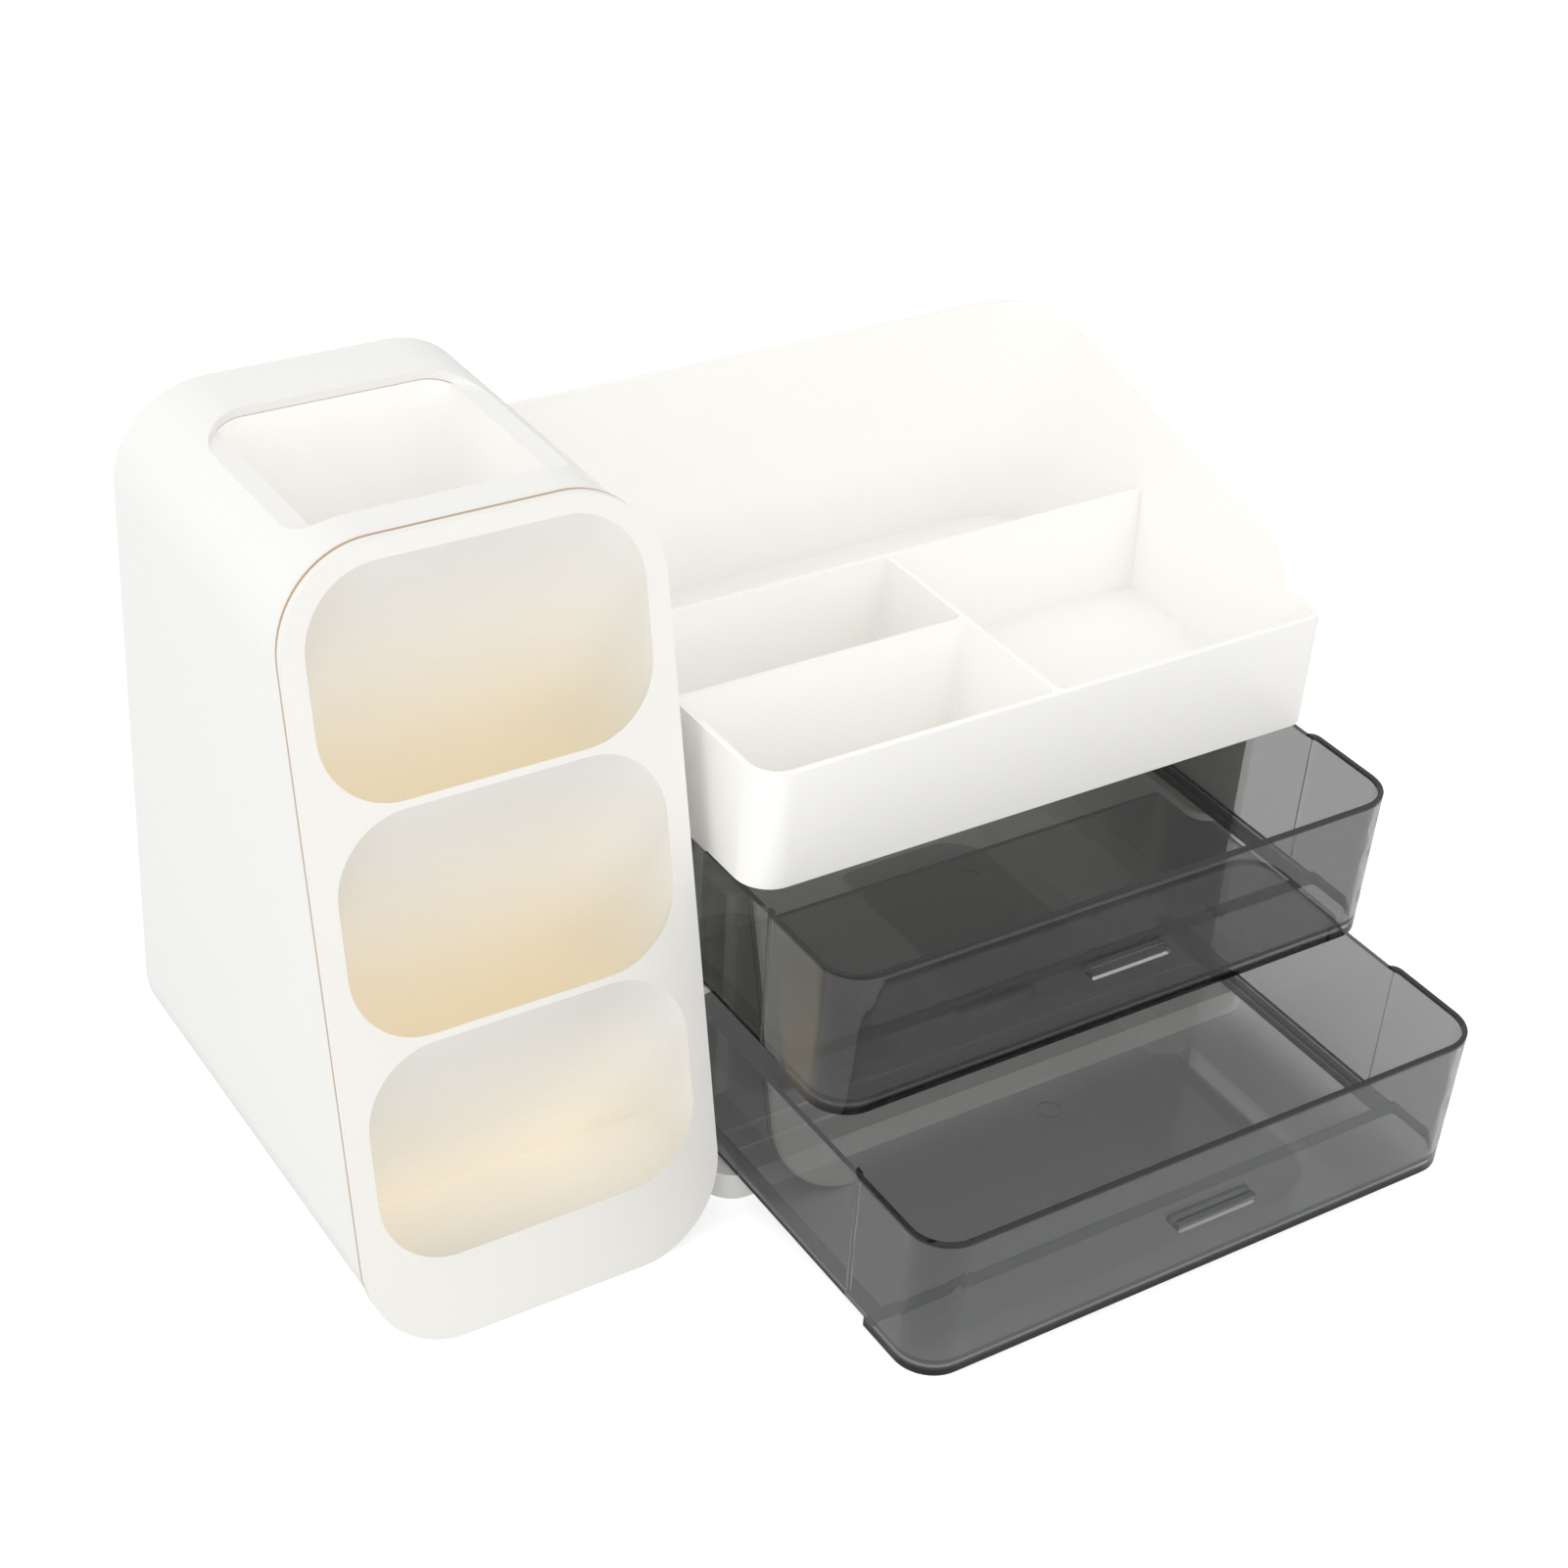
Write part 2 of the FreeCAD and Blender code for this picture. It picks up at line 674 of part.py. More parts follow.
def side_wall(label, side):
    """Upright wall with a ledge inside for the upper drawer; the left one carries the tower's hooks."""
    piece = Piece(label)
    lift = "wall_inner" if side > 0 else "-cab_half"
    panel = piece.sketch("YZ_Plane", lift=lift)
    polygon(panel, [
        ("wall_front", "base_height"),
        ("cab_back", "base_height"),
        ("cab_back", "tray_bottom"),
        ("wall_front", "tray_bottom"),
    ])
    piece.pad(panel, "wall_thick")
    sign = "" if side > 0 else "-"
    root = f"{sign}(wall_inner + wall_thick / 2)"
    tip = f"{sign}(wall_inner - rail_width)"
    start = "(wall_front + wall_thick)"
    ledges = (("rail_top - rail_thick", "rail_thick"), ("tray_bottom - ledge_thick", "ledge_thick"))
    for under, thick in ledges:
        ledge = piece.sketch("XY_Plane", lift=under)
        polygon(ledge, [
            (root, start),
            (tip, start),
            (tip, "cab_back - wall_thick"),
            (root, "cab_back - wall_thick"),
        ])
        piece.pad(ledge, thick)
    spot = sizes.value(tip), sizes.value(start)
    piece.fillet("rail_round", lambda edge: is_upright_at(edge, spot[1], spot[0]))
    if side < 0:
        face = "(cab_half + wall_clear + hook_lip + side_gap)"
        for middle in ("(tower_y + hook_margin)", "(tower_y + tower_depth - hook_margin)"):
            hook = piece.sketch("XY_Plane", lift="hook_bottom")
            polygon(hook, [
                ("-cab_half + wall_thick / 2", f"{middle} - hook_stem / 2"),
                ("-cab_half + wall_thick / 2", f"{middle} + hook_stem / 2"),
                (f"-{face}", f"{middle} + hook_stem / 2"),
                (f"-{face}", f"{middle} + hook_head / 2"),
                (f"-{face} - hook_head_thick", f"{middle} + hook_head / 2"),
                (f"-{face} - hook_head_thick", f"{middle} - hook_head / 2"),
                (f"-{face}", f"{middle} - hook_head / 2"),
                (f"-{face}", f"{middle} - hook_stem / 2"),
            ])
            piece.pad(hook, "hook_length")
    return piece


def back_panel():
    """Flat panel that closes the cabinet between the side walls."""
    piece = Piece("back_panel")
    panel = piece.sketch("XZ_Plane", lift="-cab_back")
    polygon(panel, [
        ("-wall_inner", "base_height"),
        ("wall_inner", "base_height"),
        ("wall_inner", "tray_bottom"),
        ("-wall_inner", "tray_bottom"),
    ])
    piece.pad(panel, "wall_thick")
    return piece


def tray():
    """Tray with four cells, a high back and a right wall whose top slopes down to the low front rim."""
    piece = Piece("tray")
    outline = piece.sketch("XY_Plane", lift="tray_bottom")
    radii = ["tray_corner_near", "tray_corner_front", "tray_corner_back", "tray_corner_back"]
    rounded(outline, "-tray_half", "tray_half", "tray_front", "cab_back", radii)
    piece.pad(outline, "tray_back")
    wall = "tray_wall"
    well = piece.sketch("XY_Plane", lift="tray_bottom + tray_back")
    inside = [f"{r} - {wall}" for r in radii]
    left = f"(-tray_half + {wall})"
    right = f"(tray_half - {wall})"
    near_side = f"tray_front + {wall}"
    far_side = f"cab_back - {wall}"
    rounded(well, left, right, near_side, far_side, inside)
    piece.pocket(well, "tray_back - tray_rim")
    cross = "(-tray_half + cross_divider)"
    long = "(tray_front + long_divider)"
    short = "(tray_front + short_divider)"
    small = "tray_cell_round"
    cells = piece.sketch("XY_Plane", lift="tray_top")
    half = "divider / 2"
    rounded(cells, left, right, f"{long} + {half}", far_side, [small, small, inside[2], inside[3]])
    rounded(cells, left, f"{cross} - {half}", f"{short} + {half}", f"{long} - {half}", small)
    corner = [inside[0], small, small, small]
    rounded(cells, left, f"{cross} - {half}", near_side, f"{short} - {half}", corner)
    corner = [small, inside[1], small, small]
    rounded(cells, f"{cross} + {half}", right, near_side, f"{long} - {half}", corner)
    piece.pocket(cells, "tray_rim - tray_floor")
    # the sloping top edge of the right wall, then the low left wall; both end in a round step
    slope = "tan(tray_slope * 1 deg)"
    bend = "tray_step_round * tan((90 - tray_slope) / 2 * 1 deg)"
    far = "2 * cab_depth"
    for side, step in ((1, "tray_right_step"), (-1, "tray_left_step")):
        y = f"(tray_front + {step})"
        knee = f"(tray_top + {bend} + ({step} - tray_right_step) * {slope})"
        side_view = piece.sketch("YZ_Plane", lift="-tray_half - 1")
        polygon(side_view, [
            (f"tray_front - {far}", "tray_top"),
            (y, "tray_top"),
            (y, knee),
            (f"{y} + (tray_bottom + tray_back - {knee}) / ({slope})", "tray_bottom + tray_back"),
            (f"{y} + (tray_bottom + tray_back - {knee}) / ({slope})", f"tray_bottom + {far}"),
            (f"tray_front - {far}", f"tray_bottom + {far}"),
        ])
        if side > 0:
            piece.pocket(side_view, None, **ALL_WAY)
        else:
            piece.pocket(side_view, "tray_corner_back + 1", Reversed=True)
        spot = sizes.value(y), sizes.value(knee)
        piece.fillet("tray_step_round - 0.01", lambda edge: is_knee(edge, *spot))
    return piece


def drawer(label, level, pull):
    """Transparent drawer: a wide front part, a narrower and lower rear part, and runner ribs below."""
    piece = Piece(label)
    piece.place("0", f"tray_front - ({pull})", level)
    wide = "drawer_half"
    lean = "(drawer_height * tan(drawer_draft * 1 deg))"
    slim = "(drawer_half - drawer_step_in)"
    low = "(drawer_height - drawer_step_down)"
    narrow_lean = f"({low} * tan(drawer_draft * 1 deg))"
    front = "drawer_front_corner"
    back = "drawer_back_corner"
    shapes = [
        (slim, narrow_lean, low, "drawer_depth", back),
        (wide, lean, "drawer_height", "drawer_front_length", "drawer_step_round"),
    ]
    for half, slant, height, length, rear in shapes:
        foot = piece.sketch("XY_Plane")
        rounded(
            foot, f"-{half} + {slant}", f"{half} - {slant}", slant, f"{length} - {slant}",
            [f"{front} - {slant}", f"{front} - {slant}", f"{rear}", f"{rear}"],
        )
        piece.pad(foot, height, taper="drawer_draft")
    wall = "drawer_wall"
    for half, slant, height, length, rear in shapes:
        room = piece.sketch("XY_Plane", lift="floor_room")
        foot_slant = f"({slant} - floor_room * tan(drawer_draft * 1 deg))"
        inset = f"({foot_slant} + {wall})"
        rounded(
            room, f"-{half} + {inset}", f"{half} - {inset}", inset, f"{length} - {inset}",
            [f"{front} - {inset}", f"{front} - {inset}", f"{rear} - {wall} / 2", f"{rear} - {wall} / 2"],
        )
        piece.pocket(room, "drawer_height", taper="drawer_draft", Reversed=True)
    far = "2 * cab_width"
    under = piece.sketch("XY_Plane")
    polygon(under, [
        (f"-{far}", "drawer_front_drop"),
        (far, "drawer_front_drop"),
        (far, far),
        (f"-{far}", far),
    ])
    piece.pocket(under, "drawer_skirt", Reversed=True)
    inset = f"({lean} + {wall})"
    skirt = piece.sketch("XY_Plane")
    rounded(
        skirt, f"-{wide} + {inset}", f"{wide} - {inset}", inset, f"drawer_front_drop - {wall}",
        [f"{front} - {inset}", f"{front} - {inset}", wall, wall],
    )
    piece.pocket(skirt, "drawer_skirt", Reversed=True)
    ribs = piece.sketch("XY_Plane")
    outer = f"({slim} - {narrow_lean} - drawer_rib_inset)"
    for sign in ("", "-"):
        for number in (0, 1):
            near_side = f"{sign}({outer} - {number} * drawer_rib_pitch)"
            far_side = f"{sign}({outer} - {number} * drawer_rib_pitch - drawer_rib)"
            polygon(ribs, [
                (near_side, f"drawer_front_drop - {wall} / 2"),
                (far_side, f"drawer_front_drop - {wall} / 2"),
                (far_side, f"drawer_depth - 2 * {back}"),
                (near_side, f"drawer_depth - 2 * {back}"),
            ])
    piece.pad(ribs, "drawer_skirt + drawer_floor / 2")
    grip = piece.sketch("XZ_Plane", lift=f"-{wall} / 2")
    rounded(
        grip, "-handle_length / 2", "handle_length / 2", "handle_level - handle_height / 2",
        "handle_level + handle_height / 2", "handle_height / 3",
    )
    piece.pad(grip, f"handle_depth + {wall} / 2")
    mark = piece.sketch("XY_Plane", lift="drawer_skirt")
    disc(mark, "0", "drawer_depth / 2", "gate_mark / 2")
    piece.pocket(mark, "gate_depth", Reversed=True)
    return piece


def check_states():
    """Stops when any object of the document has failed."""
    for item in doc.Objects:
        if "Invalid" in item.State or "Error" in item.State:
            raise RuntimeError(f"{item.Name} failed: {item.State}")


PIECES = [
    tower_sleeve(),
    tower_insert(),
    brush_cup(),
    base_plate(),
    side_wall("left_side_wall", -1),
    side_wall("right_side_wall", 1),
    back_panel(),
    tray(),
    drawer("upper_drawer", "upper_level", "upper_pull"),
    drawer("lower_drawer", "lower_level", "lower_pull"),
]
doc.recompute()
check_states()

os.makedirs("parts", exist_ok=True)
for piece in PIECES:
    shape = piece.body.Shape
    if shape.isNull() or not shape.isValid():
        raise RuntimeError(f"{piece.label} has no valid shape")
    shape.exportStep(f"parts/{piece.label}.step")
    print(piece.label, round(shape.Volume), len(shape.Solids))
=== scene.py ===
"""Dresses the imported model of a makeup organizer: a tower with sloping pockets beside a cabinet with drawers.

Lengths are metres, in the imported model's own frame: X from the tower to the cabinet, Y to the back, Z up.
"""

from __future__ import annotations

import logging
import math
from dataclasses import dataclass, field, replace
from enum import Enum
from typing import Any, Callable, Sequence

import bmesh
import bpy
from mathutils import Matrix, Vector

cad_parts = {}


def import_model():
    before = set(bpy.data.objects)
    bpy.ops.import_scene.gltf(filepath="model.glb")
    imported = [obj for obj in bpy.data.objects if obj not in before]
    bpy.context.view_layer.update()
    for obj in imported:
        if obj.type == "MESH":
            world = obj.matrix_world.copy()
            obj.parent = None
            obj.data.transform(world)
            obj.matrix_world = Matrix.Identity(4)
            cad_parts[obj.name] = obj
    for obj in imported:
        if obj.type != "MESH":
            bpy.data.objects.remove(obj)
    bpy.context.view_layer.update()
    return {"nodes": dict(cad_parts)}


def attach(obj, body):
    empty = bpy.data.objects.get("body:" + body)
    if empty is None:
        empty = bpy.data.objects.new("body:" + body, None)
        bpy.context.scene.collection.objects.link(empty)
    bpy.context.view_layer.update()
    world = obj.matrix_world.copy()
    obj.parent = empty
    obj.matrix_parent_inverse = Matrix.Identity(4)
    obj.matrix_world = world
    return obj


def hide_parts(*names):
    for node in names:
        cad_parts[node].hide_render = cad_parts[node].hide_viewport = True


LOG = logging.getLogger("organizer")
MILLIMETRE = 0.001


class Value:
    """A shader socket with Python's arithmetic; each operation adds one Math node."""

    def __init__(self, recipe: Recipe, socket: bpy.types.NodeSocket) -> None:
        """Wraps an output socket of the recipe's tree."""
        self.recipe = recipe
        self.socket = socket

    def math(self, operation: str, *others: Value | float) -> Value:
        """Adds a Math node.

        Args:
            operation: The Math node's operation.
            others: The operands after this value.

        Returns:
            The node's result.
        """
        operands = {n: other for n, other in enumerate((self, *others))}
        return self.recipe.add("ShaderNodeMath", {"operation": operation}, operands)

    def __add__(self, other: Value | float) -> Value:
        """Adds."""
        return self.math("ADD", other)

    def __radd__(self, other: float) -> Value:
        """Adds to a number."""
        return self.math("ADD", other)

    def __sub__(self, other: Value | float) -> Value:
        """Subtracts."""
        return self.math("SUBTRACT", other)

    def __rsub__(self, other: float) -> Value:
        """Subtracts from a number."""
        return (self * -1.0) + other

    def __mul__(self, other: Value | float) -> Value:
        """Multiplies."""
        return self.math("MULTIPLY", other)

    def __rmul__(self, other: float) -> Value:
        """Multiplies a number."""
        return self.math("MULTIPLY", other)

    def __pow__(self, other: float) -> Value:
        """Raises to a power."""
        return self.math("POWER", other)

    def between(self, low: float, high: float) -> Value:
        """Holds the value between two numbers.

        Args:
            low: The least result.
            high: The greatest result.

        Returns:
            The held value.
        """
        return self.math("MAXIMUM", low).math("MINIMUM", high)


class Recipe:
    """The node tree of one material."""

    def __init__(self, name: str) -> None:
        """Starts an empty material."""
        self.material = bpy.data.materials.new(name)
        self.material.use_nodes = True
        self.tree = self.material.node_tree
        self.tree.nodes.clear()

    def add(self, kind: str, settings: dict[str, Any], sockets: dict[Any, Any], output: Any = 0) -> Value:
        """Adds a node.

        Args:
            kind: The node's type.
            settings: Node attributes, which are set first.
            sockets: Values or links of the input sockets, by name or number.
            output: The output to return, by name or number.

        Returns:
            The chosen output.
        """
        node = self.tree.nodes.new(kind)
        for key, setting in settings.items():
            setattr(node, key, setting)
        for key, content in sockets.items():
            if isinstance(content, Value):
                self.tree.links.new(content.socket, node.inputs[key])
            else:
                node.inputs[key].default_value = content
        return Value(self, node.outputs[output])

    def place(self) -> Value:
        """Object coordinates."""
        return self.add("ShaderNodeTexCoord", {}, {}, "Object")

    def noise(self, scale: float, detail: float = 2.0, roughness: float = 0.5) -> Value:
        """Cloudy noise on Object coordinates.

        Args:
            scale: Waves in a metre.
            detail: Octaves.
            roughness: Weight of the finer octaves.

        Returns:
            The noise's strength from 0 to 1.
        """
        sockets = {"Vector": self.place(), "Scale": scale, "Detail": detail, "Roughness": roughness}
        return self.add("ShaderNodeTexNoise", {}, sockets)

    def blend(self, factor: Value | float, low: Sequence[float], high: Sequence[float]) -> Value:
        """Mixes two colours.

        Args:
            factor: The share of the second colour.
            low: The first colour.
            high: The second colour.

        Returns:
            The mixed colour.
        """
        sockets = {0: factor, 6: (*low, 1.0), 7: (*high, 1.0)}
        return self.add("ShaderNodeMix", {"data_type": "RGBA"}, sockets, 2)

    def bump(self, height: Value, distance: float, strength: float = 1.0) -> Value:
        """A bump from a height.

        Args:
            height: The height from 0 to 1.
            distance: The height of 1 in metres.
            strength: The bump's strength.

        Returns:
            The bent normal.
        """
        return self.add("ShaderNodeBump", {}, {"Height": height, "Distance": distance, "Strength": strength})

    def finish(self, shader: Value) -> bpy.types.Material:
        """Links the shader to the material's output."""
        self.add_output(shader)
        return self.material

    def add_output(self, shader: Value) -> None:
        """Adds the output node."""
        node = self.tree.nodes.new("ShaderNodeOutputMaterial")
        self.tree.links.new(shader.socket, node.inputs["Surface"])


@dataclass(frozen=True)
class IvoryPlastic:
    """Opaque injection-moulded plastic with a soft gloss and a faint orange peel."""

    name: str = "ivory_plastic"
    pale: tuple[float, float, float] = (0.90, 0.89, 0.86)
    deep: tuple[float, float, float] = (0.89, 0.88, 0.85)
    gloss: float = 0.30
    matte: float = 0.38
    coat: float = 0.25
    cloud_scale: float = 22.0
    peel_scale: float = 900.0
    peel_height: float = 0.000006
    foot: tuple[float, float] | None = None
    lean: float = math.tan(math.radians(14.23))
    reach: float = 0.045
    # painted light: colour and strength of a warm glow that grows deeper into the recesses behind a leaning front
    recess_glow: tuple[float, float, float] = (1.0, 0.80, 0.49)
    recess_glow_strength: float = 0.185
    # painted light: strength of an even glow that stands in for light through the pale plastic
    lift: float = 0.0
    # painted shade: the colour of the shaded gap between the front plate and the sleeve
    seam_shade: tuple[float, float, float] = (0.50, 0.34, 0.20)
    plate: tuple[float, float, float, float] = (-0.1471, 0.0502, 0.2006, 0.0256)
    seam_start: float = -0.07535

    def glow(self, recipe: Recipe, colour: Value) -> dict[str, Any]:
        """Paints light in as glow, standing in for light through the pale walls: an even glow, or a warm glow
        growing deeper in the recesses behind a leaning front, with painted shade in the gap of its seam.

        Args:
            recipe: The material's recipe.
            colour: The plastic's colour.

        Returns:
            The shader's sockets for colour and glow.
        """
        if self.foot is None:
            # painted light: the even pale glow
            pale = (1.0, 0.985, 0.95, 1.0)
            return {"Base Color": colour, "Emission Color": pale, "Emission Strength": self.lift}
        # painted light: the warm glow grows with depth behind the leaning front
        near, start = self.foot
        x, y, z = (recipe.add("ShaderNodeSeparateXYZ", {}, {0: recipe.place()}, axis) for axis in range(3))
        level = y - z * self.lean
        depth = ((level - near - start) * (1.0 / self.reach)).between(0.0, 1.0)
        # painted shade in the seam gap: outside a rounded rectangle just inside the front plate's outline, and
        # behind the seam's start
        middle, half, height, corner = self.plate
        aside = ((x - middle).math("ABSOLUTE") - (half - corner)).math("MAXIMUM", 0.0)
        along = ((z - height / 2).math("ABSOLUTE") - (height / 2 - corner)).math("MAXIMUM", 0.0)
        rim = ((aside ** 2.0 + along ** 2.0) ** 0.5 - (corner - 0.5 * MILLIMETRE)) * 10000.0
        seam_shade_mask = rim.between(0.0, 1.0) * ((level - self.seam_start) * 10000.0).between(0.0, 1.0)
        return {
            "Base Color": recipe.add("ShaderNodeMix", {"data_type": "RGBA"}, {0: seam_shade_mask, 6: colour, 7: (*self.seam_shade, 1.0)}, 2),
            "Emission Color": recipe.blend(depth, (0.0, 0.0, 0.0), self.recess_glow),
            "Emission Strength": self.recess_glow_strength,
        }

    def material(self) -> bpy.types.Material:
        """Builds the material."""
        recipe = Recipe(self.name)
        cloud = recipe.noise(self.cloud_scale, 3.0)
        peel = recipe.noise(self.peel_scale, 1.0)
        roughness = cloud * (self.matte - self.gloss) + self.gloss
        colour = recipe.blend(cloud, self.pale, self.deep)
        shader = recipe.add("ShaderNodeBsdfPrincipled", {}, self.glow(recipe, colour) | {
            "Roughness": roughness,
            "IOR": 1.48,
            "Coat Weight": self.coat,
            "Coat Roughness": 0.12,
            "Normal": recipe.bump(peel, self.peel_height),
        })
        return recipe.finish(shader)


@dataclass(frozen=True)
class SmokedPlastic:
    """Clear plastic with a grey smoke tint, with painted shade as near-black bands at rim and foot and a faint
    painted glow elsewhere; shadows pass through it tinted.
    """

    name: str
    foot: float
    height: float = 0.0433
    rim_band: float = 0.0009
    foot_band: float = 0.0020
    tint: tuple[float, float, float] = (0.455, 0.458, 0.454)
    # painted shade: the near-black colour of the bands at rim and foot, where light running along the walls is
    # darkened
    edge: tuple[float, float, float] = (0.006, 0.0065, 0.008)
    shade: tuple[float, float, float] = (0.76, 0.76, 0.755)
    # painted light: a faint glow standing in for reflections and light passing through the walls
    painted_glow: tuple[float, float, float] = (0.008, 0.008, 0.0078)
    gloss: float = 0.02
    index: float = 1.49
    wave_scale: float = 35.0
    wave_height: float = 0.00002

    def material(self) -> bpy.types.Material:
        """Builds the material."""
        recipe = Recipe(self.name)
        wave = recipe.noise(self.wave_scale, 1.0)
        z = recipe.add("ShaderNodeSeparateXYZ", {}, {0: recipe.place()}, 2)
        # painted shade: bands at the rim's top and along the foot
        above = ((z - (self.foot + self.height - self.rim_band)) * 10000.0).between(0.0, 1.0)
        below = (((self.foot + self.foot_band) - z) * 10000.0).between(0.0, 1.0)
        edge_shade = above + below
        body = recipe.add("ShaderNodeBsdfPrincipled", {}, {
            "Base Color": recipe.blend(edge_shade, self.tint, self.edge),
            "Roughness": self.gloss,
            "IOR": self.index,
            "Transmission Weight": 1.0,
            "Specular IOR Level": 0.75,
            "Emission Color": recipe.blend(edge_shade, self.painted_glow, (0.0, 0.0, 0.0)),
            "Emission Strength": 1.0,
            "Normal": recipe.bump(wave, self.wave_height),
        })
        veil = recipe.add("ShaderNodeBsdfTransparent", {}, {"Color": (*self.shade, 1.0)})
        shadow = recipe.add("ShaderNodeLightPath", {}, {}, "Is Shadow Ray")
        return recipe.finish(recipe.add("ShaderNodeMixShader", {}, {0: shadow, 1: body, 2: veil}))


@dataclass(frozen=True)
class TableTop:
    """The pale floor: white to the camera, with the object's own soft shadow."""

    name: str = "table_top"
    colour: tuple[float, float, float] = (0.80, 0.80, 0.80)
    lift: float = 0.62

    def material(self) -> bpy.types.Material:
        """Builds the material."""
        recipe = Recipe(self.name)
        plain = recipe.add("ShaderNodeBsdfDiffuse", {}, {"Color": (*self.colour, 1.0)})
        lifted = recipe.add("ShaderNodeEmission", {}, {"Color": (1.0, 1.0, 1.0, 1.0), "Strength": self.lift})
        pale = recipe.add("ShaderNodeAddShader", {}, {0: plain, 1: lifted})
        seen = recipe.add("ShaderNodeLightPath", {}, {}, "Is Camera Ray")
        return recipe.finish(recipe.add("ShaderNodeMixShader", {}, {0: seen, 1: plain, 2: pale}))


class Skin(Enum):
    """How a moulded piece's edges are rounded."""

    CRISP = 0.25
    SOFT = 0.5
    ROUND = 1.2


def deselect() -> None:
    """Clears the selection."""
    bpy.ops.object.select_all(action="DESELECT")


def smooth(node: bpy.types.Object, skin: Skin, segments: int = 3) -> None:
    """Rounds a moulded piece's sharp edges and shades its curved walls smoothly.

    Args:
        node: The piece's object.
        skin: The edge rounding in millimetres.
        segments: Facets of the rounding.
    """
    deselect()
    node.select_set(True)
    bpy.context.view_layer.objects.active = node
    weld = node.modifiers.new("weld", "WELD")
    weld.merge_threshold = 0.02 * MILLIMETRE
    bevel = node.modifiers.new("edge_round", "BEVEL")
    bevel.width = skin.value * MILLIMETRE
    bevel.segments = segments
    bevel.limit_method = "ANGLE"
    bevel.angle_limit = math.radians(35.0)
    bpy.ops.object.shade_smooth()
    flat = node.modifiers.new("flat_faces", "WEIGHTED_NORMAL")
    flat.weight = 90
    flat.keep_sharp = False


def activate(piece: bpy.types.Object) -> None:
    """Selects one object alone."""
    deselect()
    piece.select_set(True)
    bpy.context.view_layer.objects.active = piece


def block(name: str, low: Sequence[float], high: Sequence[float]) -> bpy.types.Object:
    """Adds a block between two corners, its object at the origin.

    Args:
        name: The object's name.
        low: The least corner.
        high: The greatest corner.

    Returns:
        The block.
    """
    deselect()
    middle = [(a + b) / 2 for a, b in zip(low, high)]
    span = [b - a for a, b in zip(low, high)]
    bpy.ops.mesh.primitive_cube_add(size=1.0, location=middle, scale=span)
    piece = bpy.context.active_object
    piece.name = name
    bpy.ops.object.transform_apply(location=True, rotation=True, scale=True)
    return piece


def pick_edges(wanted: Callable[[Vector, Vector], bool]) -> None:
    """Selects the edges of the mesh in edit mode whose two ends are wanted."""
    bpy.ops.mesh.select_mode(type="EDGE")
    bpy.ops.mesh.select_all(action="DESELECT")
    mesh = bpy.context.edit_object.data
    for edge in bmesh.from_edit_mesh(mesh).edges:
        edge.select_set(wanted(edge.verts[0].co, edge.verts[1].co))
    bmesh.update_edit_mesh(mesh)


def pick_faces(wanted: Callable[[Vector, Vector], bool]) -> None:
    """Selects the faces of the mesh in edit mode whose centre and normal are wanted."""
    bpy.ops.mesh.select_mode(type="FACE")
    bpy.ops.mesh.select_all(action="DESELECT")
    mesh = bpy.context.edit_object.data
    for face in bmesh.from_edit_mesh(mesh).faces:
        face.select_set(wanted(face.calc_center_median(), face.normal))
    bmesh.update_edit_mesh(mesh)


def upright_at(start: Vector, end: Vector, x: float, y: float) -> bool:
    """Whether an edge stands upright at a place.

    Args:
        start: The edge's one end.
        end: The edge's other end.
        x: The place from left to right.
        y: The place from front to back.

    Returns:
        True for an upright edge there.
    """
    near = 0.05 * MILLIMETRE
    return all(abs(spot.x - x) < near and abs(spot.y - y) < near for spot in (start, end))


def combine(piece: bpy.types.Object, tool: bpy.types.Object, operation: str) -> None:
    """Joins or cuts a piece with a tool, which is then taken away.

    Args:
        piece: The piece to change.
        tool: The tool's object.
        operation: The Boolean modifier's operation.
    """
    activate(piece)
    change = piece.modifiers.new("combine", "BOOLEAN")
    change.operation = operation
    change.solver = "EXACT"
    change.object = tool
    bpy.ops.object.modifier_apply(modifier=change.name)
    bpy.data.objects.remove(tool)


def paint(node: bpy.types.Object, material: bpy.types.Material) -> None:
    """Puts one material on every face."""
    node.data.materials.clear()
    node.data.materials.append(material)


@dataclass
class Tower:
    """The upright tower: outer sleeve, front with three pockets, and brush cup."""

    nodes: dict[str, bpy.types.Object]
    sleeve: IvoryPlastic = IvoryPlastic("ivory_sleeve")
    # painted light: a warm glow deeper in the pockets, and painted shade in the seam gap around the front plate
    pockets: IvoryPlastic = IvoryPlastic(
        "ivory_pockets", (0.885, 0.87, 0.828), (0.875, 0.86, 0.818), foot=(-0.0744, 0.003)
    )
    # painted light: the cup glows evenly to brighten its shaded inside
    cup: IvoryPlastic = IvoryPlastic("ivory_cup", (0.95, 0.935, 0.915), (0.94, 0.925, 0.905), lift=0.10)

    def build(self) -> None:
        """Dresses the tower's pieces."""
        finishes = {"tower_sleeve": self.sleeve, "tower_insert": self.pockets, "brush_cup": self.cup}
        for name, finish in finishes.items():
            smooth(self.nodes[name], Skin.SOFT)
            paint(self.nodes[name], finish.material())
            LOG.info("dressed %s", name)


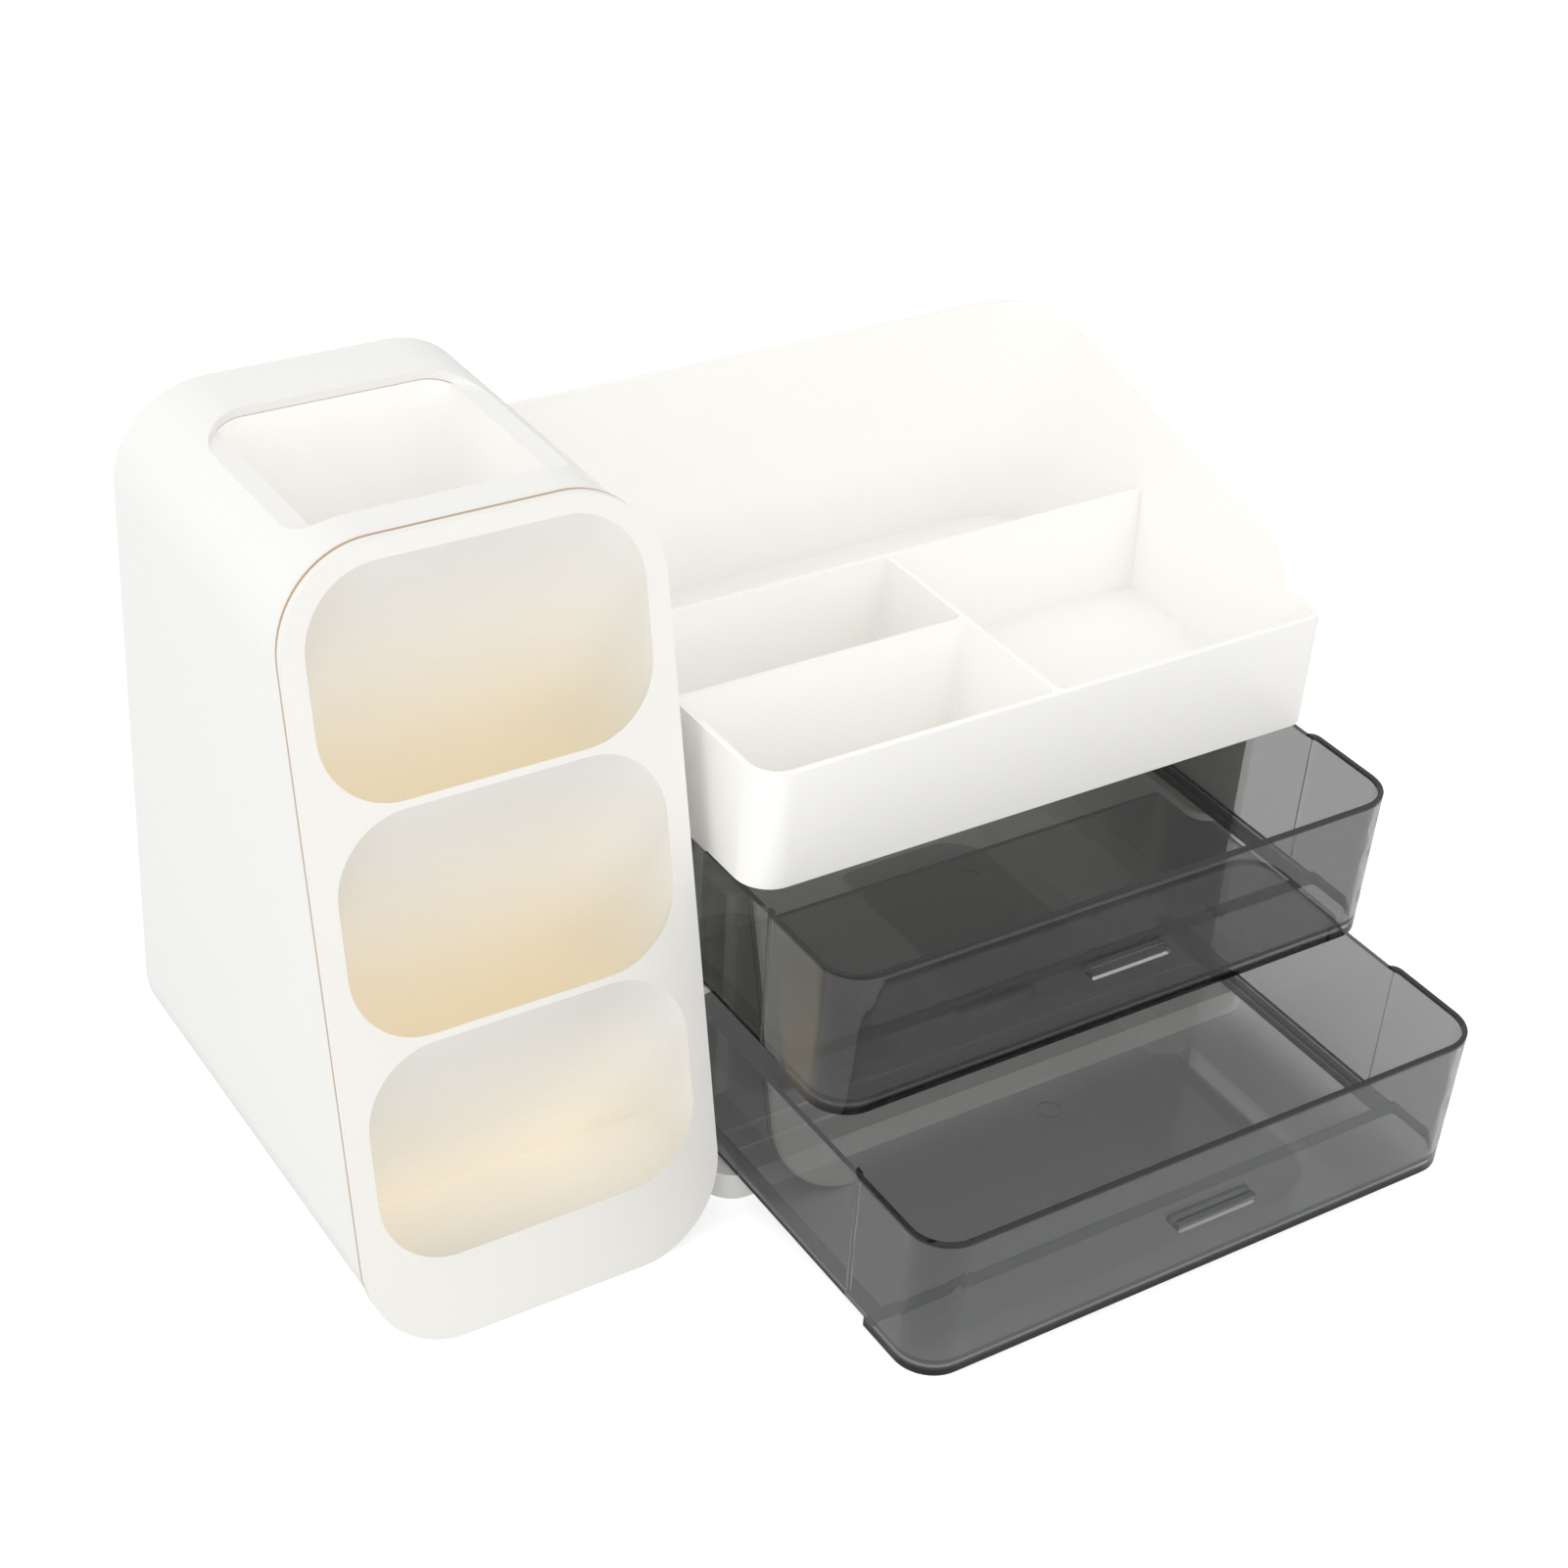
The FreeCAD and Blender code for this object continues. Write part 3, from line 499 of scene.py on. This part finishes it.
@dataclass
class Cabinet:
    """The low cabinet: base plate, side walls and back."""

    nodes: dict[str, bpy.types.Object]
    finish: IvoryPlastic = IvoryPlastic("ivory_cabinet", (0.95, 0.94, 0.92), (0.94, 0.93, 0.91))
    # painted light: even glows on each piece, standing in for light through the pale plastic
    lifts: tuple[tuple[str, float], ...] = (("base_plate", 0.065), ("right_side_wall", 0.025), ("back_panel", 0.025))
    left_lift: float = 0.025
    cut_low: tuple[float, float, float] = (-0.0945, -0.060, 0.0)
    cut_high: tuple[float, float, float] = (-0.0899, -0.037, 0.2)

    def set_back(self) -> None:
        """Models the left wall from its merged copy, with its front edge farther back behind the tower."""
        piece = bpy.data.objects.new("left_wall", self.nodes["left_side_wall"].data.copy())
        bpy.context.collection.objects.link(piece)
        activate(piece)
        bpy.ops.object.mode_set(mode="EDIT")
        bpy.ops.mesh.select_all(action="SELECT")
        bpy.ops.mesh.remove_doubles(threshold=0.02 * MILLIMETRE)
        bpy.ops.mesh.dissolve_limited(angle_limit=math.radians(1.0))
        bpy.ops.object.mode_set(mode="OBJECT")
        combine(piece, block("front_cut", self.cut_low, self.cut_high), "DIFFERENCE")
        smooth(piece, Skin.SOFT)
        for name in [modifier.name for modifier in piece.modifiers]:
            bpy.ops.object.modifier_apply(modifier=name)
        paint(piece, replace(self.finish, name="ivory_left_wall", lift=self.left_lift).material())
        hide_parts("left_side_wall")
        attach(piece, "organizer")
        LOG.info("modelled %s", piece.name)

    def build(self) -> None:
        """Dresses the cabinet's pieces."""
        self.set_back()
        for name, lift in self.lifts:
            smooth(self.nodes[name], Skin.SOFT)
            paint(self.nodes[name], replace(self.finish, name=f"ivory_{name}", lift=lift).material())
            LOG.info("dressed %s", name)


@dataclass
class Tray:
    """The tray of four cells on top, modelled by hand with the photograph's own corner radii."""

    # painted light: the tray glows evenly
    finish: IvoryPlastic = IvoryPlastic("ivory_tray", (0.935, 0.925, 0.895), (0.925, 0.915, 0.885), lift=0.068)
    half: float = 0.0902
    front: float = -0.0693
    back: float = 0.0671
    foot: float = 0.1021
    rim: float = 0.1360
    top: float = 0.1746
    wall: float = 0.0018
    floor: float = 0.0020
    slope: float = math.tan(math.radians(13.9))
    knee_rise: float = 0.01016
    right_step: float = -0.0528
    left_step: float = 0.0103
    divider: float = 0.0016
    long_divider: float = 0.0103
    short_divider: float = -0.0271
    cell_round: float = 0.002
    seam_line: float = 0.004
    corners: tuple[tuple[int, int, float], ...] = (
        (-1, -1, 0.0095), (1, -1, 0.006), (1, 1, 0.023), (-1, 1, 0.005),
    )

    def shell(self) -> bpy.types.Object:
        """Models the deep box: a block with rounded upright edges, inset and pushed in.

        Returns:
            The tray's object.
        """
        piece = block("tray_shell", (-self.half, self.front, self.foot), (self.half, self.back, self.top))
        bpy.ops.object.mode_set(mode="EDIT")
        for x_side, y_side, radius in self.corners:
            x = self.half * x_side
            y = self.back if y_side > 0 else self.front
            pick_edges(lambda a, b: upright_at(a, b, x, y))
            bpy.ops.mesh.bevel(offset=radius, segments=12, affect="EDGES")
        pick_faces(lambda centre, normal: normal.z > 0.9 and centre.z > self.top - MILLIMETRE)
        bpy.ops.mesh.inset(thickness=self.wall, depth=0.0, use_even_offset=True)
        drop = self.top - self.foot - self.floor
        bpy.ops.mesh.extrude_region_move(TRANSFORM_OT_translate={"value": (0.0, 0.0, -drop)})
        bpy.ops.object.mode_set(mode="OBJECT")
        return piece

    def cutter(self, low_x: float, high_x: float, step: float) -> bpy.types.Object:
        """Models what is cut away above a wall: a block pulled on along the slope, its knee rounded.

        Args:
            low_x: The cut's left end.
            high_x: The cut's right end.
            step: The knee's place from front to back.

        Returns:
            The cutter.
        """
        knee = self.rim + self.knee_rise + (step - self.right_step) * self.slope
        far = self.back + 0.02
        high = self.top + 0.05
        tool = block("tray_cutter", (low_x, self.front - 0.02, self.rim), (high_x, step, high))
        bpy.ops.object.mode_set(mode="EDIT")
        bpy.ops.mesh.select_all(action="SELECT")
        bpy.ops.mesh.bisect(plane_co=(0.0, 0.0, knee), plane_no=(0.0, 0.0, 1.0))
        pick_faces(lambda centre, normal: normal.y > 0.9 and centre.z > knee)
        bpy.ops.mesh.extrude_region_move(TRANSFORM_OT_translate={"value": (0.0, far - step, 0.0)})
        pick_edges(lambda a, b: min(a.y, b.y) > far - MILLIMETRE and max(a.z, b.z) < knee + MILLIMETRE)
        bpy.ops.transform.translate(value=(0.0, 0.0, (far - step) * self.slope))
        pick_edges(lambda a, b: all(
            abs(end.y - step) < 0.01 * MILLIMETRE and abs(end.z - knee) < 0.01 * MILLIMETRE for end in (a, b)
        ))
        bpy.ops.mesh.bevel(offset=self.knee_rise * 0.998, segments=12, affect="EDGES")
        bpy.ops.object.mode_set(mode="OBJECT")
        return tool

    def dividers(self) -> list[bpy.types.Object]:
        """Models the three dividers, sunk half a wall into what they meet.

        Returns:
            The dividers.
        """
        thin = self.divider / 2
        sunk = self.half - self.wall / 2
        base = self.foot + self.floor / 2
        return [
            block("long", (-sunk, self.long_divider - thin, base), (sunk, self.long_divider + thin, self.rim)),
            block("short", (-sunk, self.short_divider - thin, base), (0.0, self.short_divider + thin, self.rim)),
            block("cross", (-thin, self.front + self.wall / 2, base), (thin, self.long_divider, self.rim)),
        ]

    def round_cells(self) -> None:
        """Rounds the upright edges where dividers meet walls and one another."""
        thin = self.divider / 2
        inner = self.half - self.wall
        spots = [(side * inner, self.long_divider + face * thin) for side in (-1, 1) for face in (-1, 1)]
        spots += [(x, self.short_divider + face * thin) for x in (-inner, -thin) for face in (-1, 1)]
        spots += [(face * thin, y) for face in (-1, 1) for y in (self.front + self.wall, self.long_divider - thin)]
        bpy.ops.object.mode_set(mode="EDIT")
        bpy.ops.mesh.select_all(action="SELECT")
        bpy.ops.mesh.remove_doubles(threshold=0.01 * MILLIMETRE)
        bpy.ops.mesh.dissolve_limited(angle_limit=math.radians(1.0))
        for x, y in spots:
            pick_edges(lambda a, b: upright_at(a, b, x, y))
            bpy.ops.mesh.bevel(offset=self.cell_round, segments=4, affect="EDGES")
        # an edge line before the left wall's step keeps the step's shading off the long rim
        bpy.ops.mesh.select_all(action="SELECT")
        bpy.ops.mesh.bisect(plane_co=(0.0, self.seam_line, 0.0), plane_no=(0.0, 1.0, 0.0))
        bpy.ops.object.mode_set(mode="OBJECT")

    def build(self) -> None:
        """Models the tray and puts it in the plain tray's place."""
        piece = self.shell()
        outside = self.half + 0.01
        combine(piece, self.cutter(-outside, outside, self.right_step), "DIFFERENCE")
        combine(piece, self.cutter(-outside, 0.006 - self.half, self.left_step), "DIFFERENCE")
        for rib in self.dividers():
            combine(piece, rib, "UNION")
        activate(piece)
        self.round_cells()
        smooth(piece, Skin.SOFT)
        piece.modifiers["edge_round"].loop_slide = False
        for name in [modifier.name for modifier in piece.modifiers]:
            bpy.ops.object.modifier_apply(modifier=name)
        paint(piece, self.finish.material())
        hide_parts("tray")
        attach(piece, "organizer")
        LOG.info("modelled %s", piece.name)


@dataclass
class Drawers:
    """The two smoked drawers."""

    nodes: dict[str, bpy.types.Object]
    finishes: dict[str, SmokedPlastic] = field(default_factory=lambda: {
        "upper_drawer": SmokedPlastic("smoked_upper", 0.0574),
        # the lower drawer gets a stronger painted glow
        "lower_drawer": SmokedPlastic("smoked_lower", 0.0085, painted_glow=(0.016, 0.0165, 0.0165)),
    })

    def build(self) -> None:
        """Dresses the drawers."""
        for name, finish in self.finishes.items():
            smooth(self.nodes[name], Skin.CRISP)
            paint(self.nodes[name], finish.material())
            LOG.info("dressed %s", name)


@dataclass
class Studio:
    """Camera, lamps and floor."""

    eye: Vector = field(default_factory=lambda: Vector((-0.42236, -0.54926, 0.52388)))
    heading: float = 35.18
    pitch: float = 33.59
    roll: float = -4.636
    focal_share: float = 2987.84 / 1601.0
    floor_span: float = 8.0
    room_light: float = 0.84

    def camera(self) -> bpy.types.Object:
        """Sets the camera at the photograph's place and angle.

        Returns:
            The camera's object.
        """
        heading = math.radians(self.heading)
        pitch = math.radians(self.pitch)
        roll = math.radians(self.roll)
        ahead = Vector((
            math.sin(heading) * math.cos(pitch),
            math.cos(heading) * math.cos(pitch),
            -math.sin(pitch),
        ))
        right = Vector((math.cos(heading), -math.sin(heading), 0.0))
        down = ahead.cross(right)
        tilted = right * math.cos(roll) + down * math.sin(roll)
        below = down * math.cos(roll) - right * math.sin(roll)
        data = bpy.data.cameras.new("camera")
        data.sensor_width = 36.0
        data.lens = 36.0 * self.focal_share
        camera = bpy.data.objects.new("camera", data)
        bpy.context.collection.objects.link(camera)
        turn = Matrix((tilted, -below, -ahead)).transposed().to_4x4()
        camera.matrix_world = Matrix.Translation(self.eye) @ turn
        bpy.context.scene.camera = camera
        return camera

    def lamp(self, name: str, place: Sequence[float], aim: Sequence[float], side: float, watts: float,
             colour: Sequence[float] = (1.0, 1.0, 1.0)) -> None:
        """Adds a square soft box.

        Args:
            name: The lamp's name.
            place: Its centre.
            aim: The point it faces.
            side: Its side in metres.
            watts: Its power.
            colour: Its colour.
        """
        data = bpy.data.lights.new(name, "AREA")
        data.size = side
        data.energy = watts
        data.color = colour
        lamp = bpy.data.objects.new(name, data)
        bpy.context.collection.objects.link(lamp)
        facing = Vector(aim) - Vector(place)
        lamp.matrix_world = Matrix.Translation(place) @ facing.to_track_quat("-Z", "Y").to_matrix().to_4x4()

    def sky(self) -> None:
        """Lights the room evenly; the camera and rays through glass see white."""
        world = bpy.data.worlds.new("room")
        bpy.context.scene.world = world
        world.use_nodes = True
        tree = world.node_tree
        rays = tree.nodes.new("ShaderNodeLightPath")
        strength = tree.nodes.new("ShaderNodeMapRange")
        strength.inputs["To Min"].default_value = self.room_light
        strength.inputs["To Max"].default_value = 1.0
        seen = tree.nodes.new("ShaderNodeMath")
        seen.operation = "MAXIMUM"
        tree.links.new(rays.outputs["Is Camera Ray"], seen.inputs[0])
        tree.links.new(rays.outputs["Is Transmission Ray"], seen.inputs[1])
        tree.links.new(seen.outputs[0], strength.inputs["Value"])
        tree.links.new(strength.outputs["Result"], tree.nodes["Background"].inputs["Strength"])
        tree.nodes["Background"].inputs["Color"].default_value = (1.0, 1.0, 1.0, 1.0)

    def floor(self) -> None:
        """Adds the table top."""
        deselect()
        bpy.ops.mesh.primitive_plane_add(size=self.floor_span, location=(0.0, 0.0, 0.0))
        table = bpy.context.active_object
        table.name = "table"
        paint(table, TableTop().material())

    def build(self) -> None:
        """Sets the whole studio."""
        self.camera()
        self.floor()
        self.sky()
        self.lamp("front", (-0.2, -1.6, 0.9), (-0.1, 0.0, 0.1), 1.2, 6.0)
        self.lamp("left", (-1.5, -0.2, 0.8), (-0.2, 0.0, 0.1), 1.2, 6.0, (0.93, 0.97, 1.0))
        self.lamp("over", (0.0, 0.1, 1.4), (0.0, 0.0, 0.1), 1.0, 0.4)
        bpy.context.scene.view_settings.view_transform = "Standard"


def main() -> None:
    """Builds the organizer's pieces in order, then the studio."""
    logging.basicConfig(level=logging.INFO, format="%(message)s")
    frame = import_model()
    nodes = frame["nodes"]
    Tower(nodes).build()
    Cabinet(nodes).build()
    Tray().build()
    Drawers(nodes).build()
    Studio().build()


if __name__ == "__main__":
    main()
